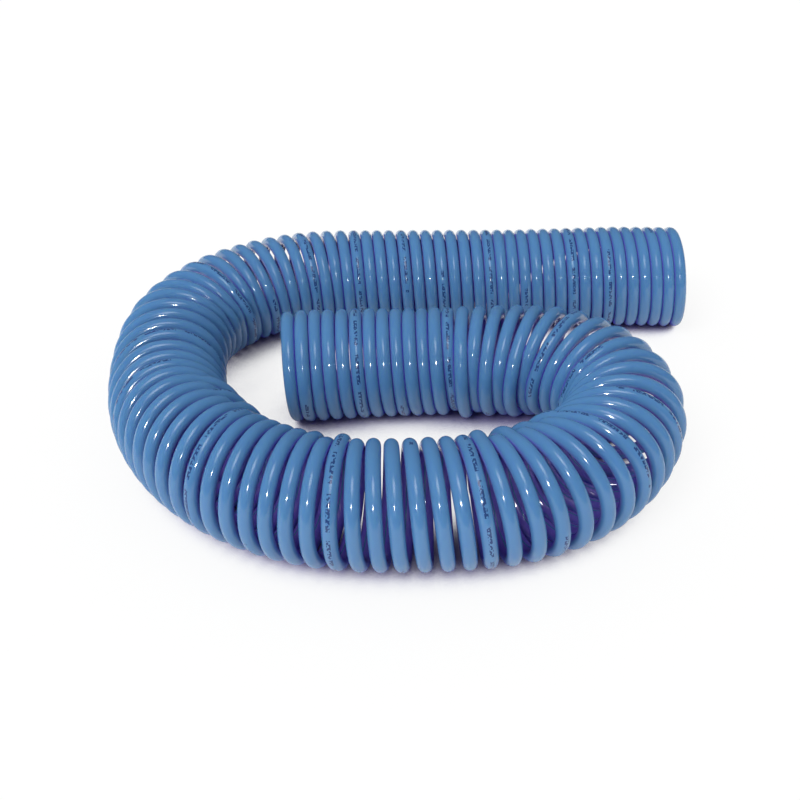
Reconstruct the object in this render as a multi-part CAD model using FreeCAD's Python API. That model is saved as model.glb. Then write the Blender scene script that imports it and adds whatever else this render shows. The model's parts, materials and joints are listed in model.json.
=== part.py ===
"""Coiled air hose: one plastic tube wound into a long coil, lying on a surface in a flat spiral.

Seen from above, the coil's axis starts at the free end of the rear leg, runs to the left, turns
round the left bend, comes back along the front run, turns round the right bend and ends in the
inner leg, inside the spiral. Lengths are in millimetres and angles in degrees.
"""
import FreeCAD, Part
import math
import os

Vector = FreeCAD.Vector
UP = Vector(0, 0, 1)

# The tube
tube_od = 10.0
tube_wall = 1.0
tube_end_length = 20.0          # round, bored length at each end, as a push-in fitting takes it
straight_run = tube_od          # plain run between the winding and each round end
section_width = 8.1             # across the flats of the wound tube's square section
foot_flat = tube_od / 10        # depth to which each turn is cut flat where it rests

# The coil
coil_od = 86.0
outer_end_angle = -160.0        # where the first turn starts: 0 is the front, 90 the top
inner_end_angle = 140.0         # where the last turn ends, behind the coil like the first
rear_leg_turns = 4              # whole turns drawn in each stretch: fewer and wider apart than
main_loop_turns = 11            # the real coil's 29, 60 and 17, which nearly touch
inner_leg_turns = 3

# The coil's axis, as the lengths of its arcs
rear_leg_length = 297.0
left_bend_start_length = 130.0
left_bend_middle_length = 86.0
left_bend_end_length = 64.0
front_run_start_length = 207.0
front_run_end_length = 76.0
right_bend_start_length = 139.0
right_bend_end_length = 125.0
inner_leg_length = 183.0
rear_leg_heading = 180.0

# Each stretch as arcs of (length, bend to the left)
rear_leg_arcs = [(rear_leg_length, 0.0)]
left_bend_arcs = [
    (left_bend_start_length, 53.0),
    (left_bend_middle_length, 40.5),
    (left_bend_end_length, 10.5),
]
front_run_arcs = [(front_run_start_length, 74.5), (front_run_end_length, 9.5)]
right_bend_arcs = [(right_bend_start_length, 62.5), (right_bend_end_length, 109.0)]
inner_leg_arcs = [(inner_leg_length, 9.5)]
main_loop_arcs = left_bend_arcs + front_run_arcs + right_bend_arcs

# Worked out from the sizes above
tube_id = tube_od - 2 * tube_wall
winding_radius = (coil_od - tube_od) / 2
axis_height = coil_od / 2 - foot_flat
section_corner = section_width / math.sqrt(2)
top_angle = 90.0                # the stretches meet at the top of a turn
same_point = tube_od / 1e7      # two points nearer than this are one


def length_of(arcs):
    """Length of the coil's axis along some of its arcs."""
    return sum(length for length, bend in arcs)


def axis_at(way):
    """Centre and heading of the coil at a distance along its axis."""
    point = Vector(0, 0, axis_height)
    heading = math.radians(rear_leg_heading)
    all_arcs = rear_leg_arcs + main_loop_arcs + inner_leg_arcs
    for index, (length, bend) in enumerate(all_arcs):
        last = index == len(all_arcs) - 1
        part = way if last else min(way, length)
        turned = math.radians(bend) * part / length
        chord = part
        if turned != 0:
            chord = part * math.sin(turned / 2) / (turned / 2)
        middle = heading + turned / 2
        point = point + Vector(math.cos(middle), math.sin(middle), 0) * chord
        heading = heading + turned
        way = way - part
        if way <= 0:
            break
    return point, heading


def spans():
    """The winding as stretches of (turns, length of axis)."""
    first = (top_angle - outer_end_angle) / 360
    last = (inner_end_angle - top_angle) / 360
    return [
        (rear_leg_turns + first, length_of(rear_leg_arcs)),
        (main_loop_turns, length_of(main_loop_arcs)),
        (inner_leg_turns + last, length_of(inner_leg_arcs)),
    ]


def way_at(angle):
    """Distance along the axis at a winding angle, counted up from the first turn's start."""
    turn = (angle - outer_end_angle) / 360
    way = 0.0
    for turns, length in spans():
        part = min(turn, turns)
        way = way + length * part / turns
        turn = turn - part
        if turn <= 0:
            break
    return way


def winding_point(angle, pitch):
    """A point on the tube's centre line, and the tube's direction there."""
    centre, heading = axis_at(way_at(angle))
    ahead = Vector(math.cos(heading), math.sin(heading), 0)
    front = UP.cross(ahead)
    turn = math.radians(angle)
    point = centre + (front * math.cos(turn) + UP * math.sin(turn)) * winding_radius
    around = UP * math.cos(turn) - front * math.sin(turn)
    direction = around * (2 * math.pi * winding_radius) + ahead * pitch
    return point, direction.normalize()


def inner_point(angle):
    """A point inside the winding, with the pitch found a quarter turn to each side."""
    pitch = (way_at(angle + 90) - way_at(angle - 90)) * 2
    return winding_point(angle, pitch)


def arc(start, direction, end):
    """The arc that leaves start in this direction and passes through end."""
    chord = end - start
    along = Vector(chord).normalize()
    side = (direction - along * direction.dot(along)).normalize()
    bulge = chord.Length / 2 * math.tan(direction.getAngle(along) / 2)
    return Part.Arc(start, start + chord / 2 + side * bulge, end).toShape()


def biarc(start, start_direction, end, end_direction):
    """Two arcs that join two points smoothly."""
    chord = end - start
    slack = 2 * (1 - start_direction.dot(end_direction))
    reach = chord.dot(start_direction + end_direction)
    run = (math.sqrt(reach ** 2 + slack * chord.dot(chord)) - reach) / slack
    joint = (start + start_direction * run + end - end_direction * run) / 2
    half = joint - start
    turned = half * (2 * start_direction.dot(half) / half.dot(half)) - start_direction
    return [arc(start, start_direction, joint), arc(joint, turned.normalize(), end)]


def winding_edges(angles):
    """The tube's centre line through these winding angles."""
    first = outer_end_angle
    last = last_angle()
    stations = []
    for angle in angles:
        at_end = angle in (first, last)
        stations.append(winding_point(angle, 0) if at_end else inner_point(angle))
    edges = []
    for (start, start_direction), (end, end_direction) in zip(stations, stations[1:]):
        edges.extend(biarc(start, start_direction, end, end_direction))
    return edges


def last_angle():
    """The winding angle at which the last turn ends."""
    whole_turns = rear_leg_turns + main_loop_turns + inner_leg_turns
    return inner_end_angle + 360 * whole_turns


def half_turns(first_turn, turns):
    """Winding angles every half turn from one top to another."""
    return [top_angle + 180 * k for k in range(2 * first_turn, 2 * (first_turn + turns) + 1)]


def wound_tube(edges):
    """A square tube along a centre line, cut flat where it rests."""
    path = Part.Wire(edges)
    start = path.OrderedVertexes[0].Point
    first = path.OrderedEdges[0]
    forward = first.tangentAt(first.FirstParameter)
    if (first.valueAt(first.FirstParameter) - start).Length > same_point:
        forward = first.tangentAt(first.LastParameter) * -1
    across = forward.cross(UP).normalize()
    upright = across.cross(forward)
    corners = []
    for k in range(4):
        turn = math.radians(90 * k + 45)
        corners.append(start + (across * math.cos(turn) + upright * math.sin(turn)) * section_corner)
    section = Part.makePolygon(corners + corners[:1])
    tube = path.makePipeShell([section], True, False)
    box = tube.BoundBox
    slab = Part.makeBox(box.XLength + tube_od, box.YLength + tube_od, tube_od,
                        Vector(box.XMin - tube_od / 2, box.YMin - tube_od / 2, -tube_od))
    return tube.cut(slab).Solids[0]


def tube_end(start, outward):
    """A round, bored end of the tube."""
    outside = Part.makeCylinder(tube_od / 2, tube_end_length, start, outward)
    bore = Part.makeCylinder(tube_id / 2, tube_end_length, start, outward)
    return outside.cut(bore)


def outer_end():
    """Where the winding starts, and the way its straight end points."""
    point, direction = winding_point(outer_end_angle, 0)
    return point, direction * -1


def inner_end():
    """Where the winding stops, and the way its straight end points."""
    return winding_point(last_angle(), 0)


def make_paths():
    """The centre line of each wound stretch, as edges."""
    point, outward = outer_end()
    lead = Part.makeLine(point + outward * straight_run, point)
    rear_angles = [outer_end_angle, top_angle - 180] + half_turns(0, rear_leg_turns)
    loop_angles = half_turns(rear_leg_turns, main_loop_turns)
    inner_angles = half_turns(rear_leg_turns + main_loop_turns, inner_leg_turns)
    end_point, end_outward = inner_end()
    tail = Part.makeLine(end_point, end_point + end_outward * straight_run)
    return {
        "rear_leg_turns": [lead] + winding_edges(rear_angles),
        "main_loop_turns": winding_edges(loop_angles),
        "inner_leg_turns": winding_edges(inner_angles + [last_angle()]) + [tail],
    }


def least_gap(paths, step=4.0):
    """The least space between turns, measured between points along the whole centre line."""
    points = []
    for edges in paths.values():
        for edge in edges:
            points.extend(edge.discretize(max(2, round(edge.Length / step)))[:-1])
    apart = round(3 * tube_od / step)
    least = None
    for index, point in enumerate(points):
        for other in points[index + apart:]:
            distance = point.distanceToPoint(other)
            if least is None or distance < least:
                least = distance
    return least - 2 * section_corner


def main():
    """Builds every piece and writes it out."""
    paths = make_paths()
    pieces = {name: wound_tube(edges) for name, edges in paths.items()}
    for name, (point, outward) in {"outer_tube_end": outer_end(), "inner_tube_end": inner_end()}.items():
        pieces[name] = tube_end(point + outward * straight_run, outward)
    box = FreeCAD.BoundBox()
    for shape in pieces.values():
        box.add(shape.optimalBoundingBox())
    to_middle = Vector(-box.Center.x, -box.Center.y, 0)
    os.makedirs("parts", exist_ok=True)
    for name, shape in pieces.items():
        shape.translate(to_middle)
        shape.exportStep("parts/" + name + ".step")
        print(name, "valid", shape.isValid(), "volume %.0f" % shape.Volume)
    length = sum(edge.Length for edges in paths.values() for edge in edges)
    print("tube modelled %.0f mm in %.2f turns" % (length, (last_angle() - outer_end_angle) / 360))
    print("least gap between turns %.2f mm" % least_gap(paths))
    print("axis starts at %.2f %.2f" % (to_middle.x, to_middle.y))
    for name, (point, outward) in {"outer": outer_end(), "inner": inner_end()}.items():
        middle = point + outward * (straight_run + tube_end_length / 2) + to_middle
        print(name, "end", [round(v, 3) for v in middle], "axis", [round(v, 5) for v in outward])
    print("size %.1f x %.1f x %.1f" % (box.XLength, box.YLength, box.ZLength))


main()
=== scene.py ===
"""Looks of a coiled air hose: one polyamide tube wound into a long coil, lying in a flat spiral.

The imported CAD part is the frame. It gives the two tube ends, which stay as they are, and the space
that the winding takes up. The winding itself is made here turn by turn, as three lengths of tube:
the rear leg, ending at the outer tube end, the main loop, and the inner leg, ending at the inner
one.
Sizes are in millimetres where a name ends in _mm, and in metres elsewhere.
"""
from __future__ import annotations

import json
import logging
import math
from dataclasses import dataclass
from enum import Enum
from typing import Any

import bpy
import numpy as np
from mathutils import Matrix, Vector


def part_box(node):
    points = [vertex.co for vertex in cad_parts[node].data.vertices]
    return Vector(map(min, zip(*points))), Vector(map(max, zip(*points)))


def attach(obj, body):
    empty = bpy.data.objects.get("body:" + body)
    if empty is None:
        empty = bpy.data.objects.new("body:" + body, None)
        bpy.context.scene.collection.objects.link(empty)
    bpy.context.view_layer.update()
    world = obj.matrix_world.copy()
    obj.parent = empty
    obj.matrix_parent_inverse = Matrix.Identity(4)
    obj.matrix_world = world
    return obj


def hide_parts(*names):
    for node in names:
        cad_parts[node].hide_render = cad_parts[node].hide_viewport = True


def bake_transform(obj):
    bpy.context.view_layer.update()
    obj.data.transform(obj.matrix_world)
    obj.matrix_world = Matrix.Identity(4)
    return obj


LOG = logging.getLogger("hose")
MM = 0.001
UP = np.array([0.0, 0.0, 1.0])

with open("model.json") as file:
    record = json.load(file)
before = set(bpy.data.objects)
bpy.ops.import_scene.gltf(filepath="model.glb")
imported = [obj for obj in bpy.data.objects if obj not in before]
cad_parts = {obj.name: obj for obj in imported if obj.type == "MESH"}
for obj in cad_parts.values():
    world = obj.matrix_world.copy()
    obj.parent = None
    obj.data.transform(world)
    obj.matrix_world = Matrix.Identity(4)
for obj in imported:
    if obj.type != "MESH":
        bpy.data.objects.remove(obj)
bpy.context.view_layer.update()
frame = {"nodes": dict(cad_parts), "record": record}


class Body(Enum):
    """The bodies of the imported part."""

    COIL = "coil"
    OUTER_END = "outer_end"
    INNER_END = "inner_end"


class Lay(Enum):
    """How a free length of tube lies."""

    COILED = "coiled"


class Stiffness(Enum):
    """How far a free length of tube bends under its own weight."""

    STIFF = "stiff"


class FarEnd(Enum):
    """What a free length of tube ends in."""

    OPEN_TUBE = "bare"
    MORE_TUBE = "object"


def add_node(tree: bpy.types.NodeTree, kind: str, inputs: dict[Any, Any] | None = None,
             **settings: Any) -> bpy.types.Node:
    """Adds a node with its settings and links.

    Args:
        tree: The node tree that gets the node.
        kind: The node's Blender class name.
        inputs: A value or an output socket for each input, by the input's name or number.
        **settings: Values for the node's own properties.

    Returns:
        The new node.
    """
    node = tree.nodes.new(kind)
    for name, value in settings.items():
        setattr(node, name, value)
    for key, value in (inputs or {}).items():
        if isinstance(value, bpy.types.NodeSocket):
            tree.links.new(value, node.inputs[key])
        else:
            node.inputs[key].default_value = value
    return node


def map_range(tree: bpy.types.NodeTree, value: bpy.types.NodeSocket, span: tuple[float, float],
              low: float, high: float | bpy.types.NodeSocket,
              interpolation: str = "SMOOTHSTEP") -> bpy.types.NodeSocket:
    """Adds a map from a span of values to another, held level past both ends.

    Args:
        tree: The node tree that gets the map.
        value: The value to map.
        span: The values at which the result is low and high.
        low: The result at the span's start.
        high: The result at the span's end.
        interpolation: How the result goes from one to the other.

    Returns:
        The result's socket.
    """
    node = add_node(tree, "ShaderNodeMapRange", {
        "Value": value, "From Min": span[0], "From Max": span[1], "To Min": low,
        "To Max": high}, interpolation_type=interpolation)
    return node.outputs["Result"]


def linear(hex_colour: str) -> tuple[float, float, float, float]:
    """Turns an sRGB hex colour to linear RGBA.

    Args:
        hex_colour: Six hex digits after a hash sign.

    Returns:
        Red, green, blue and alpha, each from 0 to 1.
    """
    levels = [int(hex_colour[start:start + 2], 16) / 255 for start in (1, 3, 5)]
    red, green, blue = [v / 12.92 if v <= 0.04045 else ((v + 0.055) / 1.055) ** 2.4 for v in levels]
    return red, green, blue, 1.0


def new_material(name: str) -> tuple[bpy.types.Material, bpy.types.NodeTree]:
    """Makes a material with an empty node tree.

    Args:
        name: The material's name.

    Returns:
        The material and its node tree.
    """
    material = bpy.data.materials.new(name)
    material.use_nodes = True
    material.node_tree.nodes.clear()
    return material, material.node_tree


@dataclass(frozen=True)
class Tube:
    """The plain tube that the coil is wound from."""

    outer_mm: float = 10.0
    sides: int = 20

    @property
    def radius(self) -> float:
        """Outer radius in metres."""
        return self.outer_mm / 2 * MM


@dataclass(frozen=True)
class ExtrudedPolyamide:
    """Blue polyamide tube as the extruder leaves it: a hard, smooth gloss with small, sharp lights.

    The plastic lets a little light through, which softens its shading. Painted shade turns it
    indigo between turns and inside the winding. A dark ink print runs along the outside in
    small blots.
    """

    name: str = "polyamide_extruded"
    pigment: str = "#4D7CAA"
    # Painted shade colours: the first between turns, the second inside the winding.
    painted_groove_shade: str = "#7A6EDE"
    painted_inside_shade: str = "#7868C6"
    ink: str = "#2A4474"
    ior: float = 1.53
    roughness: float = 0.11
    see_through: float = 0.6
    see_through_mm: float = 2.5
    see_through_reach: tuple[float, float, float] = (0.6, 0.45, 1.0)
    openness_samples: int = 8
    # Openness spans and side angles at which the painted shade begins and is full.
    groove_mm: float = 20.0
    groove_openness: tuple[float, float] = (0.05, 0.55)
    bore_mm: float = 100.0
    bore_openness: tuple[float, float] = (0.34, 0.62)
    inner_side_from: tuple[float, float] = (1.5, 2.2)     # radians round the tube
    cloud_mm: float = 60.0
    cloud_span: tuple[float, float] = (0.3, 0.7)
    cloud_lightness: tuple[float, float] = (0.97, 1.03)
    wave_mm: float = 30.0
    wave_depth_mm: float = 0.02
    print_every_mm: float = 840.0
    print_length_mm: float = 150.0
    print_height_mm: float = 2.6
    word_mm: float = 26.0
    word_share: float = 0.8
    blot_mm: float = 1.5
    blot_share: float = 0.56

    def material(self, tube: Tube) -> bpy.types.Material:
        """Makes the material.

        Args:
            tube: The tube that it goes on, for the places of the print.

        Returns:
            The material.
        """
        material, tree = new_material(self.name)
        along = add_node(tree, "ShaderNodeAttribute", attribute_name="along").outputs["Fac"]
        place = add_node(tree, "ShaderNodeTexCoord").outputs["Object"]
        side = add_node(tree, "ShaderNodeAttribute", attribute_name="side").outputs["Fac"]
        # The colour carries the painted shade.
        colour = self.colour_and_painted_shade(tree, place, side)
        ink = self.print_mask(tree, along, side, tube)
        colour = add_node(tree, "ShaderNodeMix", {
            "Factor": ink, "A": colour, "B": linear(self.ink)}, data_type="RGBA").outputs["Result"]
        waves = add_node(tree, "ShaderNodeTexNoise",
                         {"Vector": place, "Scale": 1 / (self.wave_mm * MM), "Detail": 0.0})
        bump = add_node(tree, "ShaderNodeBump", {"Height": waves.outputs["Fac"], "Strength": 1.0,
                                                 "Distance": self.wave_depth_mm * MM})
        shader = add_node(tree, "ShaderNodeBsdfPrincipled", {
            "Base Color": colour, "Roughness": self.roughness, "IOR": self.ior,
            "Subsurface Weight": self.see_through, "Subsurface Scale": self.see_through_mm * MM,
            "Subsurface Radius": self.see_through_reach, "Normal": bump.outputs["Normal"]})
        add_node(tree, "ShaderNodeOutputMaterial", {"Surface": shader.outputs["BSDF"]})
        return material

    def colour_and_painted_shade(self, tree: bpy.types.NodeTree, place: bpy.types.NodeSocket,
                    side: bpy.types.NodeSocket) -> bpy.types.NodeSocket:
        """Adds the plastic's colour, and painted shade in indigo between turns and inside the
        winding.

        Args:
            tree: The material's node tree.
            place: The surface point, in metres.
            side: The angle around the tube, in radians, with 0 on the winding's outside.

        Returns:
            The colour's socket.
        """
        # Painted shade: indigo between turns, and on the tube's inner side inside the winding.
        groove = map_range(tree, self.openness(tree, self.groove_mm), self.groove_openness,
                           1.0, 0.0)
        closed = map_range(tree, self.openness(tree, self.bore_mm), self.bore_openness, 1.0, 0.0)
        turned = add_node(tree, "ShaderNodeMath", {0: side}, operation="ABSOLUTE")
        inner_side = map_range(tree, turned.outputs[0], self.inner_side_from, 0.0, closed)
        cloud = add_node(tree, "ShaderNodeTexNoise",
                         {"Vector": place, "Scale": 1 / (self.cloud_mm * MM), "Detail": 2.0})
        lightness = map_range(tree, cloud.outputs["Fac"], self.cloud_span, *self.cloud_lightness,
                              interpolation="LINEAR")
        tinted = add_node(tree, "ShaderNodeHueSaturation",
                          {"Color": linear(self.pigment), "Value": lightness})
        outer = add_node(tree, "ShaderNodeMix", {
            "Factor": groove, "A": tinted.outputs["Color"],
            "B": linear(self.painted_groove_shade)}, data_type="RGBA")
        whole = add_node(tree, "ShaderNodeMix", {
            "Factor": inner_side, "A": outer.outputs["Result"],
            "B": linear(self.painted_inside_shade)}, data_type="RGBA")
        return whole.outputs["Result"]

    def openness(self, tree: bpy.types.NodeTree, reach_mm: float) -> bpy.types.NodeSocket:
        """Adds how open the surface is to its surroundings.

        Args:
            tree: The material's node tree.
            reach_mm: How far off things still count, in mm.

        Returns:
            A socket that is 0 where all is closed in and 1 where nothing is near.
        """
        node = add_node(tree, "ShaderNodeAmbientOcclusion", {"Distance": reach_mm * MM},
                        samples=self.openness_samples, only_local=False)
        return node.outputs["AO"]

    def print_mask(self, tree: bpy.types.NodeTree, along: bpy.types.NodeSocket,
                   side: bpy.types.NodeSocket, tube: Tube) -> bpy.types.NodeSocket:
        """Adds the mask of the ink print: small uneven blots, set in groups, that say nothing.

        Args:
            tree: The material's node tree.
            along: The distance along the tube, in metres, or 0 on the ends, which have no print.
            side: The angle around the tube, in radians.
            tube: The tube, for its radius.

        Returns:
            A socket that is 1 on the ink and 0 elsewhere.
        """
        half_height = self.print_height_mm * MM / 2
        arc = add_node(tree, "ShaderNodeMath", {0: side, 1: tube.radius}, operation="MULTIPLY")
        parts = [add_node(tree, "ShaderNodeMath", {0: arc.outputs[0], 1: 0.0, 2: half_height},
                          operation="COMPARE").outputs[0],
                 add_node(tree, "ShaderNodeMath", {0: along, 1: 0.0},
                          operation="GREATER_THAN").outputs[0]]
        for every_mm, width_mm in ((self.print_every_mm, self.print_length_mm),
                                   (self.word_mm, self.word_share * self.word_mm)):
            step = add_node(tree, "ShaderNodeMath", {0: along, 1: every_mm * MM},
                            operation="MODULO")
            parts.append(add_node(tree, "ShaderNodeMath", {0: step.outputs[0], 1: width_mm * MM},
                                  operation="LESS_THAN").outputs[0])
        spot = add_node(tree, "ShaderNodeCombineXYZ", {"X": along, "Y": arc.outputs[0]})
        blots = add_node(tree, "ShaderNodeTexNoise", {
            "Vector": spot.outputs["Vector"], "Scale": 1 / (self.blot_mm * MM), "Detail": 0.0},
            noise_dimensions="2D")
        parts.append(add_node(tree, "ShaderNodeMath", {
            0: blots.outputs["Fac"], 1: 1 - self.blot_share}, operation="GREATER_THAN").outputs[0])
        mask = parts[0]
        for part in parts[1:]:
            mask = add_node(tree, "ShaderNodeMath", {0: mask, 1: part},
                            operation="MULTIPLY").outputs[0]
        return mask


@dataclass(frozen=True)
class PaintedFloor:
    """A white studio floor, painted matt: it shows as white and keeps a soft shadow.

    The light comes from the front and above, so the shade lies under the coil and behind it. There
    the shade is partly the lamps' shadow and partly painted shadow, in the paint and in the glow.
    """

    name: str = "floor_matt_paint"
    paint: str = "#F4F4F2"
    # Painted shadow colour that the floor turns to under the coil and behind it.
    painted_floor_shadow: str = "#7C76A4"
    glow: float = 0.85
    shade_reach_mm: float = 110.0
    shade_samples: int = 12
    # Painted shadow: where the floor is closed in, the glow fades and the paint darkens.
    glow_openness: tuple[float, float] = (0.16, 0.42)
    painted_shadow_openness: tuple[float, float] = (0.1, 0.36)
    # The side towards which openness is measured, which puts the painted shadow behind the coil.
    light_from: tuple[float, float, float] = (0.0, -0.82, 0.57)

    def material(self) -> bpy.types.Material:
        """Makes the material.

        Returns:
            The material.
        """
        material, tree = new_material(self.name)
        rays = add_node(tree, "ShaderNodeLightPath")
        # Painted shadow: how closed in the floor is fades its glow and darkens its paint.
        open_side = add_node(tree, "ShaderNodeAmbientOcclusion",
                             {"Distance": self.shade_reach_mm * MM, "Normal": self.light_from},
                             samples=self.shade_samples, only_local=False)
        glow = map_range(tree, open_side.outputs["AO"], self.glow_openness, 0.0, self.glow)
        share = add_node(tree, "ShaderNodeMath", {0: rays.outputs["Is Camera Ray"], 1: glow},
                         operation="MULTIPLY")
        open_floor = map_range(tree, open_side.outputs["AO"], self.painted_shadow_openness, 0.0, 1.0)
        paint = add_node(tree, "ShaderNodeMix", {
            "Factor": open_floor, "A": linear(self.painted_floor_shadow),
            "B": linear(self.paint)}, data_type="RGBA")
        matt = add_node(tree, "ShaderNodeBsdfDiffuse", {"Color": paint.outputs["Result"]})
        white = add_node(tree, "ShaderNodeEmission", {"Color": (1, 1, 1, 1), "Strength": 1.0})
        both = add_node(tree, "ShaderNodeMixShader", {0: share.outputs[0], 1: matt.outputs["BSDF"],
                                                      2: white.outputs["Emission"]})
        add_node(tree, "ShaderNodeOutputMaterial", {"Surface": both.outputs["Shader"]})
        return material


@dataclass(frozen=True)
class CoilAxis:
    """The line through the middle of the winding: arcs of length in mm and left bend in degrees."""

    heading_deg: float = 180.0
    rear_leg: tuple[tuple[float, float], ...] = ((297.0, 0.0),)
    left_bend: tuple[tuple[float, float], ...] = ((130.0, 53.0), (86.0, 40.5), (64.0, 10.5))
    front_run: tuple[tuple[float, float], ...] = ((207.0, 74.5), (76.0, 9.5))
    right_bend: tuple[tuple[float, float], ...] = ((139.0, 62.5), (125.0, 109.0))
    inner_leg: tuple[tuple[float, float], ...] = ((183.0, 9.5),)

    @property
    def arcs(self) -> tuple[tuple[float, float], ...]:
        """Every arc, from the rear leg's free end to the inner end."""
        return self.rear_leg + self.left_bend + self.front_run + self.right_bend + self.inner_leg

    @property
    def inner_leg_way(self) -> float:
        """Distance along the axis, in mm, at which the inner leg starts."""
        return sum(length for length, bend in self.arcs) - self.inner_leg[0][0]

    def at(self, way: np.ndarray) -> tuple[np.ndarray, np.ndarray, np.ndarray]:
        """Places, headings and curvatures along the axis.

        Args:
            way: Distances along the axis, in mm.

        Returns:
            Points from the axis's start in mm, headings in radians, and bends in radians per mm.
        """
        place = np.zeros((len(way), 3))
        turned_to = np.full(len(way), math.radians(self.heading_deg))
        bend_rate = np.zeros(len(way))
        start = np.zeros(3)
        heading = math.radians(self.heading_deg)
        done = 0.0
        for index, (length, bend) in enumerate(self.arcs):
            last = index == len(self.arcs) - 1
            here = (way >= done) if index else np.full(len(way), True)
            rate = math.radians(bend) / length
            part = way[here] - done
            place[here] = start + self.along_arc(part, rate, heading)
            turned_to[here] = heading + rate * part
            bend_rate[here] = rate
            if not last:
                start = start + self.along_arc(np.array([length]), rate, heading)[0]
                heading += math.radians(bend)
                done += length
        return place, turned_to, bend_rate

    @staticmethod
    def along_arc(part: np.ndarray, rate: float, heading: float) -> np.ndarray:
        """Points along one arc.

        Args:
            part: Distances from the arc's start, in mm.
            rate: The arc's bend, in radians per mm.
            heading: The heading at the arc's start, in radians.

        Returns:
            Points from the arc's start, in mm.
        """
        half = rate * part / 2
        chord = part * np.sinc(half / math.pi)
        return np.stack([chord * np.cos(heading + half), chord * np.sin(heading + half),
                         np.zeros_like(part)], axis=1)


@dataclass(frozen=True)
class Winding:
    """How the tube winds about the axis: a right-hand helix whose turns nearly touch.

    Each size is given at stations along the axis, as (distance in mm, value). The pitch is the room
    that a turn takes along the axis and the width is the coil's own thickness, both in mm. The lean
    is how far a turn's inner side and its top stand ahead of its middle, as shares of its radius:
    where the coil bends, its turns don't stand square to it.
    """

    coil_mm: float = 86.0
    turns: int = 105
    first_angle_deg: float = -160.0     # 0 is the side that faces the bend's inside, 90 the top
    last_angle_deg: float = 140.0
    step_deg: float = 5.0
    pitches: tuple[tuple[float, float], ...] = (
        (0, 10.1), (40, 10.5), (120, 10.6), (135, 10.35), (170, 10.35), (190, 11.0), (265, 10.9),
        (285, 10.3), (302, 11.6), (390, 12.7), (428, 14.7), (462, 18.1), (486, 18.2), (520, 24.5),
        (560, 19.1), (588, 15.3), (625, 10.1), (668, 10.1), (700, 12.3), (745, 11.2), (792, 12.2),
        (820, 13.3), (850, 11.9), (880, 11.5), (905, 12.4), (940, 11.4), (1010, 19.8),
        (1060, 16.6), (1092, 14.7), (1115, 13.0), (1145, 12.7), (1180, 10.1), (1230, 10.4),
        (1262, 10.9), (1295, 10.1))
    widths: tuple[tuple[float, float], ...] = (
        (0, 89.5), (60, 89.5), (150, 86.0), (300, 84.0), (480, 86.5), (650, 87.0), (800, 85.5),
        (950, 89.0), (1100, 88.0), (1200, 84.5), (1295, 87.0))
    lean_inward: tuple[tuple[float, float], ...] = (
        (0, 0.06), (150, 0.04), (300, -0.08), (350, 0.05), (400, 0.17), (450, 0.06), (500, -0.11),
        (560, -0.06), (620, 0.09), (680, -0.12), (750, 0.0), (810, 0.02), (860, 0.0), (905, -0.11),
        (950, -0.29), (1000, -0.24), (1045, -0.06), (1085, 0.19), (1125, 0.43), (1180, 0.12),
        (1295, 0.10))
    lean_top: tuple[tuple[float, float], ...] = (
        (0, 0.09), (150, 0.07), (300, 0.03), (350, 0.02), (400, 0.16), (450, 0.27), (500, 0.11),
        (560, -0.33), (620, -0.35), (680, 0.02), (750, 0.03), (810, -0.04), (860, -0.12),
        (905, -0.10), (950, 0.05), (1000, 0.10), (1045, -0.05), (1085, -0.10), (1125, -0.02),
        (1180, 0.10), (1295, 0.01))

    @staticmethod
    def read(stations: tuple[tuple[float, float], ...], way: np.ndarray) -> np.ndarray:
        """Reads a value between its stations.

        Args:
            stations: Pairs of distance along the axis in mm, and value.
            way: Distances along the axis, in mm.

        Returns:
            The values.
        """
        places, values = zip(*stations)
        return np.interp(way, places, values)


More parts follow.
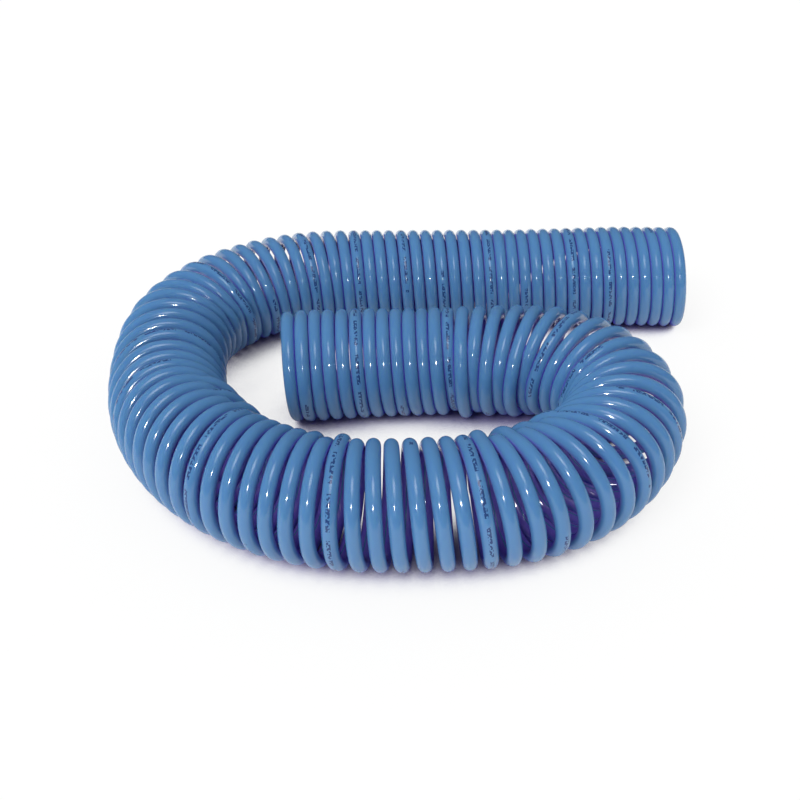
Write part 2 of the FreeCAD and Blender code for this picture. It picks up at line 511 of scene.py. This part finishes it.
class HosePath:
    """The tube's whole centre line, in the part's frame."""

    tail_turn_deg: float = 40.0     # how much of each end's turn eases into the straight tube end
    tail_points: int = 12
    tail_slack: float = 1.03        # the ease's pull at its ends, as a share of the way across
    probe_deg: float = 0.5
    probe_mm: float = 1.0
    room_share: float = 1.01        # the room that a turn should have, in tube diameters
    least_fall: float = 0.5         # the least fall towards the floor that counts, as a sine
    fine_points: int = 20001

    def __init__(self, tube: Tube, axis: CoilAxis, winding: Winding) -> None:
        """Winds the tube.

        Args:
            tube: The tube.
            axis: The line that it winds about.
            winding: How it winds.
        """
        self.tube = tube
        self.axis = axis
        self.winding = winding
        self.radius_mm = (winding.coil_mm - tube.outer_mm) / 2
        self.start = self.axis_start()
        total = sum(length for length, bend in axis.arcs)
        self.fine_way = np.linspace(0.0, total, self.fine_points)
        rate = 1 / winding.read(winding.pitches, self.fine_way)
        steps = (rate[1:] + rate[:-1]) / 2 * np.diff(self.fine_way)
        wound = np.concatenate([[0.0], np.cumsum(steps)])
        sweep = winding.turns * 360 + winding.last_angle_deg - winding.first_angle_deg
        self.fine_angle = winding.first_angle_deg + wound / wound[-1] * sweep
        self.last_angle = winding.first_angle_deg + sweep

    def axis_start(self) -> np.ndarray:
        """Where the axis starts, found from the CAD: level with the outer end, in mid rear leg."""
        low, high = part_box("rear_leg_turns")
        end = mount("outer_end_outside")["pos_m"]
        return np.array([end[0], (low.y + high.y) / 2, self.winding.coil_mm / 2 * MM])

    def angles(self, first: float, last: float) -> np.ndarray:
        """Winding angles a step apart.

        Args:
            first: The first angle, in degrees.
            last: The last angle, in degrees.

        Returns:
            The angles, both ends among them.
        """
        steps = round((last - first) / self.winding.step_deg)
        return np.linspace(first, last, steps + 1)

    def seam_angle(self, way: float) -> float:
        """The top of the turn nearest to a place on the axis.

        Args:
            way: The distance along the axis, in mm.

        Returns:
            The winding angle there, in degrees.
        """
        angle = float(np.interp(way, self.fine_way, self.fine_angle))
        return 90 + 360 * round((angle - 90) / 360)

    def points(self, angle: np.ndarray) -> tuple[np.ndarray, np.ndarray]:
        """Points of the centre line.

        Args:
            angle: Winding angles, in degrees.

        Returns:
            Points in metres, and unit vectors that point out of the winding.
        """
        way = np.interp(angle, self.fine_angle, self.fine_way)
        centre, heading, bend = self.axis.at(way)
        ahead = np.stack([np.cos(heading), np.sin(heading), np.zeros_like(heading)], axis=1)
        inward = np.cross(UP, ahead)
        turn = np.radians(angle)
        outward = inward * np.cos(turn)[:, None] + UP * np.sin(turn)[:, None]
        lean_in = self.winding.read(self.winding.lean_inward, way)
        lean_top = self.winding.read(self.winding.lean_top, way)
        lean = lean_in * np.cos(turn) + lean_top * np.sin(turn)
        radius = (self.winding.read(self.winding.widths, way) - self.tube.outer_mm) / 2
        reach = radius + self.tuck(angle, way, bend, radius)
        place = centre + outward * reach[:, None] + ahead * (lean * radius)[:, None]
        place = place + UP * (radius - self.radius_mm)[:, None]
        return self.start + place * MM, outward

    def tuck(self, angle: np.ndarray, way: np.ndarray, bend: np.ndarray,
             radius: np.ndarray) -> np.ndarray:
        """How far a turn is pushed in or out where its neighbours leave it too little room.

        On the inside of a bend, neighbouring turns take turns: one stands out, the next tucks in.
        Next to the floor both are pushed in, to keep them above it. This doesn't clear every turn:
        the tube still overlaps itself in places.

        Args:
            angle: Winding angles, in degrees.
            way: Distances along the axis, in mm.
            bend: The axis's bend there, in radians per mm.
            radius: The winding's radius there, in mm.

        Returns:
            Shifts away from the axis, in mm.
        """
        turn = np.radians(angle)
        near = self.probe_mm
        slope_in = (self.winding.read(self.winding.lean_inward, way + near)
                    - self.winding.read(self.winding.lean_inward, way - near)) / (2 * near)
        slope_top = (self.winding.read(self.winding.lean_top, way + near)
                     - self.winding.read(self.winding.lean_top, way - near)) / (2 * near)
        spread = 1 - self.radius_mm * (bend - slope_in) * np.cos(turn)
        spread = spread + self.radius_mm * slope_top * np.sin(turn)
        room = self.winding.read(self.winding.pitches, way) * spread
        needed = self.tube.outer_mm * self.room_share
        short = np.sqrt(np.clip(needed ** 2 - np.clip(room, 0, None) ** 2, 0, None))
        side = np.where(np.floor((angle + 180) / 360) % 2 == 0, 0.5, -0.5)
        above_floor = radius / np.clip(-np.sin(turn), self.least_fall, 1.0) - radius
        return side * short - np.clip(0.5 * short - above_floor, 0, None)

    def tail(self, angle: float, sign: float, name: str) -> tuple[np.ndarray, np.ndarray]:
        """The ease from the winding into a straight tube end.

        The outward vectors are square to the line, because the tube's rings tilt where they aren't.

        Args:
            angle: The winding angle at which the ease starts.
            sign: 1 where the tube goes on with the winding, -1 where it goes back from its start.
            name: The mount at the tube end.

        Returns:
            Points and outward vectors, from next to the winding to the tube end.
        """
        end = mount(name)
        towards = np.array(end["axis"])
        face = np.array(end["pos_m"]) - towards * end["dims"]["length_mm"] / 2 * MM
        pair, outward = self.points(np.array([angle - self.probe_deg, angle,
                                              angle + self.probe_deg]))
        start = pair[1]
        leaving = (pair[2] - pair[0]) * sign
        leaving /= np.linalg.norm(leaving)
        stretch = np.linalg.norm(face - start) * self.tail_slack
        share = np.linspace(0, 1, self.tail_points + 1)[1:, None]
        points = (start * (2 * share ** 3 - 3 * share ** 2 + 1)
                  + leaving * stretch * (share ** 3 - 2 * share ** 2 + share)
                  + face * (3 * share ** 2 - 2 * share ** 3)
                  + towards * stretch * (share ** 3 - share ** 2))
        beyond = face + towards * stretch / self.tail_points
        line = np.concatenate([start[None], points, beyond[None]])
        way = line[2:] - line[:-2]
        way[-1] = towards
        way /= np.linalg.norm(way, axis=1)[:, None]
        square = outward[1] - (way @ outward[1])[:, None] * way
        return points, square / np.linalg.norm(square, axis=1)[:, None]


def mount(name: str) -> dict[str, Any]:
    """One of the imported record's mounts.

    Args:
        name: The mount's name.

    Returns:
        The mount.
    """
    return next(m for m in frame["record"]["mounts"] if m["name"] == name)


class TubeSweep:
    """The geometry nodes that lay a round tube along a line, so that it stays round in any pose."""

    def __init__(self, tube: Tube, material: bpy.types.Material) -> None:
        """Makes the node group.

        Args:
            tube: The tube.
            material: Its material.
        """
        self.group = bpy.data.node_groups.new("tube_sweep", "GeometryNodeTree")
        for way in ("INPUT", "OUTPUT"):
            self.group.interface.new_socket("Geometry", in_out=way,
                                            socket_type="NodeSocketGeometry")
        given = add_node(self.group, "NodeGroupInput")
        line = add_node(self.group, "GeometryNodeMeshToCurve", {"Mesh": given.outputs["Geometry"]})
        outward = add_node(self.group, "GeometryNodeInputNamedAttribute", {"Name": "outward"},
                           data_type="FLOAT_VECTOR")
        turned = add_node(self.group, "GeometryNodeSetCurveNormal",
                          {"Curve": line.outputs["Curve"], "Normal": outward.outputs["Attribute"]},
                          mode="FREE")
        ring = self.section(tube)
        swept = add_node(self.group, "GeometryNodeCurveToMesh", {
            "Curve": turned.outputs["Curve"], "Profile Curve": ring, "Fill Caps": True})
        smooth = add_node(self.group, "GeometryNodeSetShadeSmooth",
                          {"Geometry": swept.outputs["Mesh"], "Shade Smooth": True})
        dressed = add_node(self.group, "GeometryNodeSetMaterial",
                           {"Geometry": smooth.outputs["Geometry"], "Material": material})
        add_node(self.group, "NodeGroupOutput", {"Geometry": dressed.outputs["Geometry"]})

    def section(self, tube: Tube) -> bpy.types.NodeSocket:
        """Adds the tube's round section, with the angle around it kept as the attribute side.

        Args:
            tube: The tube.

        Returns:
            The section's socket.
        """
        ring = add_node(self.group, "GeometryNodeCurvePrimitiveCircle",
                        {"Resolution": tube.sides, "Radius": tube.radius})
        place = add_node(self.group, "GeometryNodeInputPosition")
        split = add_node(self.group, "ShaderNodeSeparateXYZ", {"Vector": place.outputs["Position"]})
        angle = add_node(self.group, "ShaderNodeMath", {
            0: split.outputs["Y"], 1: split.outputs["X"]}, operation="ARCTAN2")
        kept = add_node(self.group, "GeometryNodeStoreNamedAttribute",
                        {"Geometry": ring.outputs["Curve"], "Name": "side",
                         "Value": angle.outputs[0]}, data_type="FLOAT", domain="POINT")
        return kept.outputs["Geometry"]

    def lay(self, name: str, points: np.ndarray, outward: np.ndarray,
            along: float) -> bpy.types.Object:
        """Makes a length of tube.

        Args:
            name: The piece's name.
            points: Its centre line, in metres.
            outward: Unit vectors that point out of the winding.
            along: The length of tube that comes before it, in metres.

        Returns:
            The piece.
        """
        mesh = bpy.data.meshes.new(name)
        mesh.from_pydata(points.tolist(), [(i, i + 1) for i in range(len(points) - 1)], [])
        steps = np.linalg.norm(np.diff(points, axis=0), axis=1)
        distance = along + np.concatenate([[0.0], np.cumsum(steps)])
        mesh.attributes.new("along", "FLOAT", "POINT").data.foreach_set("value", distance)
        mesh.attributes.new("outward", "FLOAT_VECTOR", "POINT").data.foreach_set(
            "vector", outward.ravel())
        piece = bpy.data.objects.new(name, mesh)
        bpy.context.scene.collection.objects.link(piece)
        modifier = piece.modifiers.new("sweep", "NODES")
        modifier.node_group = self.group
        return piece


@dataclass(frozen=True)
class WoundStretch:
    """One stretch of the winding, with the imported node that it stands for."""

    name: str
    node: str
    bodies: tuple[Body, ...]
    far_end: FarEnd
    slot: str = "tube"

    def build(self, sweep: TubeSweep, points: np.ndarray, outward: np.ndarray, along: float,
              pulls: tuple[Vector, Vector] | None, with_pieces: list[bpy.types.Object]) -> float:
        """Args:
            sweep: The tube's section and finish.
            points: Its centre line in metres. It starts where this stretch leaves the rest.
            outward: Unit vectors that point out of the winding.
            along: The length of tube that comes before it, in metres.
            pulls: Two points, for a stretch with two bodies; only whether they are given is read:
                without them the piece goes on its one body.
            with_pieces: The tube end that is on it. Not used.

        Returns:
            The stretch's own length, in metres.
        """
        length = float(np.linalg.norm(np.diff(points, axis=0), axis=1).sum())
        piece = sweep.lay(self.name, points, outward, along)
        if pulls is None:
            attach(piece, self.bodies[0].value)
        else:
            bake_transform(piece)
        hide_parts(self.node)
        LOG.info("%s: %.2f m of tube in %d points", self.name, length, len(points))
        return length


class Hose:
    """The whole hose: three wound stretches and two tube ends."""

    def __init__(self, tube: Tube, axis: CoilAxis, winding: Winding,
                 finish: ExtrudedPolyamide) -> None:
        """Keeps the parts of the hose.

        Args:
            tube: The tube.
            axis: The coil's axis.
            winding: How the tube winds.
            finish: The tube's finish.
        """
        self.path = HosePath(tube, axis, winding)
        self.material = finish.material(tube)
        self.sweep = TubeSweep(tube, self.material)

    def build(self) -> None:
        """Makes the stretches and dresses the ends."""
        path = self.path
        winding = path.winding
        first = winding.first_angle_deg + path.tail_turn_deg
        last = path.last_angle - path.tail_turn_deg
        rear_seam = path.seam_angle(path.axis.rear_leg[0][0])
        inner_seam = path.seam_angle(path.axis.inner_leg_way)

        rear, rear_out = path.points(path.angles(first, rear_seam))
        tail, tail_out = path.tail(first, -1.0, "outer_end_outside")
        rear = np.concatenate([tail[::-1], rear])[::-1]
        rear_out = np.concatenate([tail_out[::-1], rear_out])[::-1]
        loop, loop_out = path.points(path.angles(rear_seam, inner_seam))
        inner, inner_out = path.points(path.angles(inner_seam, last))
        tail, tail_out = path.tail(last, 1.0, "inner_end_outside")
        inner = np.concatenate([inner, tail])
        inner_out = np.concatenate([inner_out, tail_out])

        nodes = frame["nodes"]
        loop_piece = WoundStretch("hose_main_loop", "main_loop_turns", (Body.COIL,),
                                  FarEnd.MORE_TUBE)
        length = loop_piece.build(self.sweep, loop, loop_out, 0.0, None, [])
        WoundStretch("hose_inner_leg", "inner_leg_turns", (Body.COIL, Body.INNER_END),
                     FarEnd.OPEN_TUBE).build(
            self.sweep, inner, inner_out, length, self.pull_zone(inner),
            [nodes["inner_tube_end"]])
        WoundStretch("hose_rear_leg", "rear_leg_turns", (Body.COIL, Body.OUTER_END),
                     FarEnd.OPEN_TUBE).build(
            self.sweep, rear, rear_out, 0.0, self.pull_zone(rear), [nodes["outer_tube_end"]])
        for name in ("outer_tube_end", "inner_tube_end"):
            self.dress_end(nodes[name])

    def pull_zone(self, points: np.ndarray) -> tuple[Vector, Vector]:
        """Two points of a leg, level with its free end: one across from the leg's start, one at the
        end.

        Args:
            points: The leg's centre line, from the main loop to the tube end.

        Returns:
            The point across from the leg's start, level with its free end, and the free end's own
            point.
        """
        y, z = float(points[-1][1]), float(points[-1][2])
        return Vector((float(points[0][0]), y, z)), Vector((float(points[-1][0]), y, z))

    def dress_end(self, node: bpy.types.Object) -> None:
        """Gives a tube end the tube's material.

        Args:
            node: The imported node.
        """
        node.data.materials.clear()
        node.data.materials.append(self.material)
        LOG.info("%s: dressed", node.name)


@dataclass(frozen=True)
class Camera:
    """A camera at the photograph's place: above the front of the coil, looking over it."""

    above_mm: float = 428.5
    before_mm: float = 613.6
    left_mm: float = 19.0
    down_deg: float = 35.52
    tilt_deg: float = 0.49
    lens_mm: float = 41.74
    sensor_mm: float = 36.0
    shift_up: float = 0.0271

    def build(self) -> None:
        """Adds the camera and makes it the scene's."""
        data = bpy.data.cameras.new("camera")
        data.lens = self.lens_mm
        data.sensor_width = self.sensor_mm
        data.shift_y = self.shift_up
        camera = bpy.data.objects.new("camera", data)
        camera.location = (-self.left_mm * MM, -self.before_mm * MM, self.above_mm * MM)
        look = Matrix.Rotation(math.radians(90 - self.down_deg), 4, "X")
        roll = Matrix.Rotation(math.radians(self.tilt_deg), 4, "Z")
        camera.rotation_euler = (look @ roll).to_euler()
        bpy.context.scene.collection.objects.link(camera)
        bpy.context.scene.camera = camera
        LOG.info("camera: placed")


@dataclass(frozen=True)
class Studio:
    """The floor, the lamps and the world."""

    floor_size: float = 30.0
    flash_place: tuple[float, float, float] = (-0.1, -0.6136, 0.3695)
    flash_radius: float = 0.008
    flash_watts: float = 10.0
    key_elevation_deg: float = 44.0
    key_left_deg: float = 35.0
    key_width_deg: float = 30.0
    key_strength: float = 2.15
    roof_place: tuple[float, float, float] = (0.0, -0.62, 1.35)
    roof_size: tuple[float, float] = (1.3, 1.3)
    roof_watts: float = 25.0
    roof_middle: tuple[float, float, float] = (0.5, 0.5, 0.0)   # in the lamp's own coordinates
    roof_fade: tuple[float, float] = (0.0, 0.5)                 # from its middle to its edge
    world_strength: float = 0.7
    world_reflected: float = 0.12

    def build(self) -> None:
        """Adds all of them."""
        self.add_floor()
        self.add_flash()
        self.add_key()
        self.add_roof()
        self.add_world()
        bpy.context.scene.view_settings.view_transform = "Standard"
        LOG.info("studio: floor, lamps and world")

    def add_floor(self) -> None:
        """Adds the floor that the coil lies on."""
        half = self.floor_size / 2
        mesh = bpy.data.meshes.new("floor")
        corners = [(-half, -half, 0), (half, -half, 0), (half, half, 0), (-half, half, 0)]
        mesh.from_pydata(corners, [], [(0, 1, 2, 3)])
        mesh.materials.append(PaintedFloor().material())
        floor = bpy.data.objects.new("floor", mesh)
        bpy.context.scene.collection.objects.link(floor)

    def add_flash(self) -> None:
        """Adds the small flash beside the camera, which puts one bright point on each turn."""
        light = bpy.data.lights.new("flash", "POINT")
        light.energy = self.flash_watts
        light.shadow_soft_size = self.flash_radius
        lamp = bpy.data.objects.new("flash", light)
        lamp.location = self.flash_place
        lamp.visible_diffuse = False
        bpy.context.scene.collection.objects.link(lamp)

    def add_key(self) -> None:
        """Adds the even light from the front left, which lights near and far turns alike."""
        light = bpy.data.lights.new("key", "SUN")
        light.energy = self.key_strength
        light.angle = math.radians(self.key_width_deg)
        lamp = bpy.data.objects.new("key", light)
        lamp.rotation_euler = (math.radians(90 - self.key_elevation_deg), 0.0,
                               math.radians(-self.key_left_deg))
        lamp.visible_glossy = False
        bpy.context.scene.collection.objects.link(lamp)

    def add_roof(self) -> None:
        """Adds the large soft lamp above, whose reflection is the pale streak on each turn."""
        light = bpy.data.lights.new("roof", "AREA")
        light.shape = "RECTANGLE"
        light.size, light.size_y = self.roof_size
        light.energy = self.roof_watts
        light.use_nodes = True
        tree = light.node_tree
        tree.nodes.clear()
        place = add_node(tree, "ShaderNodeNewGeometry").outputs["Parametric"]
        offset = add_node(tree, "ShaderNodeVectorMath", {0: place, 1: self.roof_middle},
                          operation="DISTANCE")
        hot_centre = map_range(tree, offset.outputs["Value"], self.roof_fade, 1.0, 0.0)
        glow = add_node(tree, "ShaderNodeEmission", {"Strength": hot_centre})
        add_node(tree, "ShaderNodeOutputLight", {"Surface": glow.outputs["Emission"]})
        lamp = bpy.data.objects.new("roof", light)
        lamp.visible_diffuse = False
        lamp.location = self.roof_place
        lamp.rotation_euler = (-math.atan2(self.roof_place[1], self.roof_place[2]), 0.0, 0.0)
        bpy.context.scene.collection.objects.link(lamp)

    def add_world(self) -> None:
        """Adds an even white surround."""
        world = bpy.data.worlds.new("surround")
        world.use_nodes = True
        tree = world.node_tree
        tree.nodes.clear()
        rays = add_node(tree, "ShaderNodeLightPath")
        lit = add_node(tree, "ShaderNodeMath", {
            0: rays.outputs["Is Glossy Ray"], 1: self.world_reflected - self.world_strength,
            2: self.world_strength}, operation="MULTIPLY_ADD")
        strength = add_node(tree, "ShaderNodeMath", {0: rays.outputs["Is Camera Ray"],
                                                     1: lit.outputs[0]}, operation="MAXIMUM")
        light = add_node(tree, "ShaderNodeBackground", {"Color": (1, 1, 1, 1),
                                                        "Strength": strength.outputs[0]})
        add_node(tree, "ShaderNodeOutputWorld", {"Surface": light.outputs["Background"]})
        bpy.context.scene.world = world


def main() -> None:
    """Builds the camera, the hose and the studio, in that order."""
    logging.basicConfig(level=logging.INFO, format="%(name)s %(message)s")
    Camera().build()
    Hose(Tube(), CoilAxis(), Winding(), ExtrudedPolyamide()).build()
    Studio().build()


if __name__ == "__main__":
    main()
